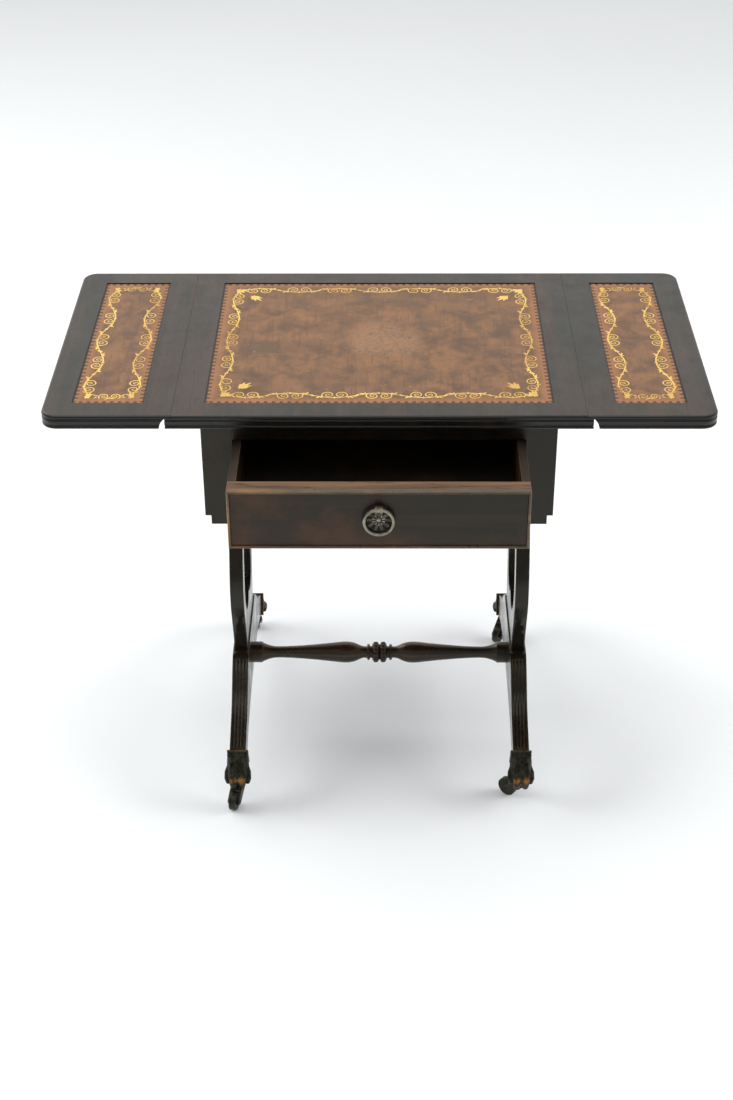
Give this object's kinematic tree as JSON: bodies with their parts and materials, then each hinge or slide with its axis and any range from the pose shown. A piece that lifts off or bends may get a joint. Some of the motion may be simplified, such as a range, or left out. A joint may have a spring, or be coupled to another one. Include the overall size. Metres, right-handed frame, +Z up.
{
  "type": "drop-leaf side table",
  "caption": "Drop-leaf side table on lyre ends with sabre legs and paw casters; leather-inset top, rule-jointed leaves on hinges, fly brackets and one drawer with a ring pull.",
  "frame": {"origin": "on the floor, under the middle of the footprint as stored, with the drawer part open; the table's own middle is 46.5 mm further back, at y = 0.0465 m", "axes": "+X to the right leaf as seen from the drawer side, -Y towards the drawer side, +Z up"},
  "size_m": [0.8, 0.539, 0.598],
  "materials": {
    "top_wood": "satin black-brown stained mahogany",
    "dark_wood": "satin black-brown stained mahogany",
    "drawer_wood": "satin red-brown stained mahogany, worn at the edges",
    "inner_wood": "dull stained softwood",
    "leather": "polished brown hide with gold tooling",
    "hinge_iron": "dull",
    "steel": "aged",
    "paw_brass": "dark patina, worn bright on the toes",
    "wheel_iron": "dark",
    "pull_brass": "antique"
  },
  "bodies": {
    "table": {"back_apron": "dark_wood", "back_left_leg": "dark_wood", "back_left_paw": "paw_brass", "back_right_leg": "dark_wood", "back_right_paw": "paw_brass", "bottom_rail": "dark_wood", "drawer_kickers": "inner_wood", "drawer_stops": "inner_wood", "front_left_leg": "dark_wood", "front_left_paw": "paw_brass", "front_right_leg": "dark_wood", "front_right_paw": "paw_brass", "hinge_frame_screws": "steel", "hinge_pins": "hinge_iron", "knuckle_pegs": "dark_wood", "left_drawer_runner": "inner_wood", "left_fly_rail": "dark_wood", "left_hinge_frame_plates": "hinge_iron", "left_lyre": "dark_wood", "left_side_apron": "dark_wood", "left_stile": "dark_wood", "right_drawer_runner": "inner_wood", "right_fly_rail": "dark_wood", "right_hinge_frame_plates": "hinge_iron", "right_lyre": "dark_wood", "right_side_apron": "dark_wood", "right_stile": "dark_wood", "stretcher": "dark_wood", "top_board": "top_wood", "top_leather": "leather", "top_rail": "dark_wood"},
    "left_leaf": {"left_hinge_leaf_plates": "hinge_iron", "left_leaf": "top_wood", "left_leaf_leather": "leather", "left_leaf_screws": "steel"},
    "right_leaf": {"right_hinge_leaf_plates": "hinge_iron", "right_leaf": "top_wood", "right_leaf_leather": "leather", "right_leaf_screws": "steel"},
    "left_bracket": {"left_fly_bracket": "dark_wood"},
    "right_bracket": {"right_fly_bracket": "dark_wood"},
    "drawer": {"drawer_back": "inner_wood", "drawer_bottom": "inner_wood", "drawer_cock_bead": "drawer_wood", "drawer_front": "drawer_wood", "drawer_left_side": "inner_wood", "drawer_right_side": "inner_wood", "pull_backplate": "pull_brass", "pull_bolt": "steel", "pull_knuckle": "pull_brass"},
    "pull_ring": {"pull_ring": "pull_brass"},
    "front_left_caster": {"front_left_horn": "paw_brass"},
    "front_left_wheel": {"front_left_wheel": "wheel_iron"},
    "front_right_caster": {"front_right_horn": "paw_brass"},
    "front_right_wheel": {"front_right_wheel": "wheel_iron"},
    "back_left_caster": {"back_left_horn": "paw_brass"},
    "back_left_wheel": {"back_left_wheel": "wheel_iron"},
    "back_right_caster": {"back_right_horn": "paw_brass"},
    "back_right_wheel": {"back_right_wheel": "wheel_iron"}
  },
  "joints": [
    {"name": "left_leaf_hinge", "type": "hinge", "parent": "table", "child": "left_leaf", "pos_m": [-0.245, 0.0465, 0.5805], "axis": [0, -1, 0], "range_deg": [0, 90]},
    {"name": "right_leaf_hinge", "type": "hinge", "parent": "table", "child": "right_leaf", "pos_m": [0.245, 0.0465, 0.5805], "axis": [0, 1, 0], "range_deg": [0, 90]},
    {"name": "left_bracket_swing", "type": "hinge", "parent": "table", "child": "left_bracket", "pos_m": [-0.204, 0.1115, 0.544], "axis": [0, 0, 1], "range_deg": [-90, 0]},
    {"name": "right_bracket_swing", "type": "hinge", "parent": "table", "child": "right_bracket", "pos_m": [0.204, 0.1115, 0.544], "axis": [0, 0, -1], "range_deg": [-90, 0]},
    {"name": "drawer_slide", "type": "slide", "parent": "table", "child": "drawer", "axis": [0, -1, 0], "range_m": [-0.1155, 0.12]},
    {"name": "pull_ring_swing", "type": "hinge", "parent": "drawer", "child": "pull_ring", "pos_m": [0, -0.266, 0.5388], "axis": [-1, 0, 0], "range_deg": [0, 95]},
    {"name": "front_left_swivel", "type": "hinge", "parent": "table", "child": "front_left_caster", "pos_m": [-0.1895, -0.1435, 0.03], "axis": [0, 0, 1], "continuous": true},
    {"name": "front_left_roll", "type": "hinge", "parent": "front_left_caster", "child": "front_left_wheel", "pos_m": [-0.19468, -0.16282, 0.013], "axis": [0.9659, -0.2588, 0], "continuous": true},
    {"name": "front_right_swivel", "type": "hinge", "parent": "table", "child": "front_right_caster", "pos_m": [0.1895, -0.1435, 0.03], "axis": [0, 0, 1], "continuous": true},
    {"name": "front_right_roll", "type": "hinge", "parent": "front_right_caster", "child": "front_right_wheel", "pos_m": [0.17418, -0.13064, 0.013], "axis": [-0.6428, -0.766, 0], "continuous": true},
    {"name": "back_left_swivel", "type": "hinge", "parent": "table", "child": "back_left_caster", "pos_m": [-0.1895, 0.2365, 0.03], "axis": [0, 0, 1], "continuous": true},
    {"name": "back_left_roll", "type": "hinge", "parent": "back_left_caster", "child": "back_left_wheel", "pos_m": [-0.1895, 0.2565, 0.013], "axis": [-1, 0, 0], "continuous": true},
    {"name": "back_right_swivel", "type": "hinge", "parent": "table", "child": "back_right_caster", "pos_m": [0.1895, 0.2365, 0.03], "axis": [0, 0, 1], "continuous": true},
    {"name": "back_right_roll", "type": "hinge", "parent": "back_right_caster", "child": "back_right_wheel", "pos_m": [0.1795, 0.21918, 0.013], "axis": [0.866, -0.5, 0], "continuous": true}
  ]
}
